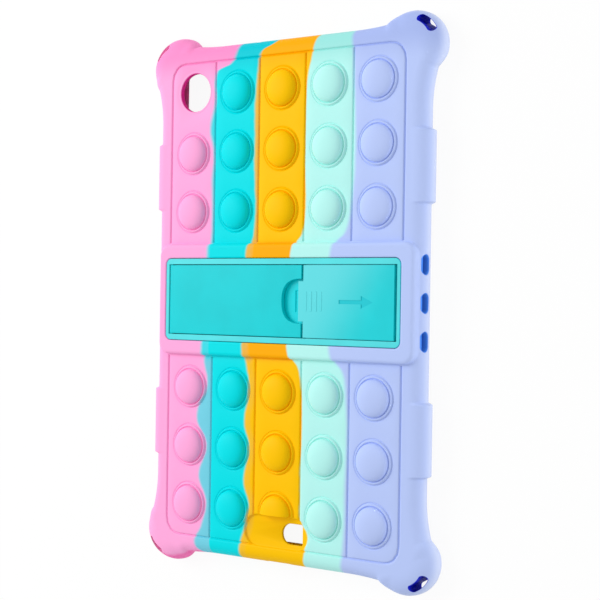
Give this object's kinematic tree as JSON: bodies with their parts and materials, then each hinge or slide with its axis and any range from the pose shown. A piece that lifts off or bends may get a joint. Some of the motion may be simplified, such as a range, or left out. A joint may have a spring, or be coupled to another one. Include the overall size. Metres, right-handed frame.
{
  "type": "shockproof tablet case",
  "caption": "Soft silicone tablet case with press-in bubbles on its back, round corner bumpers, side grips and a folding plastic stand locked by a slider.",
  "frame": {"origin": "Centre of the footprint, on the surface that the case's front lip rests on.", "axes": "+X across the case towards the side with the button holes, +Y up the case towards the camera hole, +Z out of the back, where the bubbles and the stand are."},
  "size_m": [0.1726, 0.2646, 0.017],
  "materials": {
    "silicone": "matte",
    "frame_plastic": "satin",
    "leg_plastic": "satin",
    "slider_plastic": "satin"
  },
  "bodies": {
    "case": {"case_shell": "silicone", "stand_frame": "frame_plastic"},
    "leg": {"stand_leg": "leg_plastic"},
    "slider": {"latch_slider": "slider_plastic"}
  },
  "joints": [
    {"name": "leg_hinge", "type": "hinge", "parent": "case", "child": "leg", "pos_m": [-0.06645, 0, 0.0145], "axis": [0, -1, 0], "range_deg": [0, 75]},
    {"name": "latch_slide", "type": "slide", "parent": "case", "child": "slider", "axis": [1, 0, 0], "range_m": [0, 0.0012]}
  ]
}
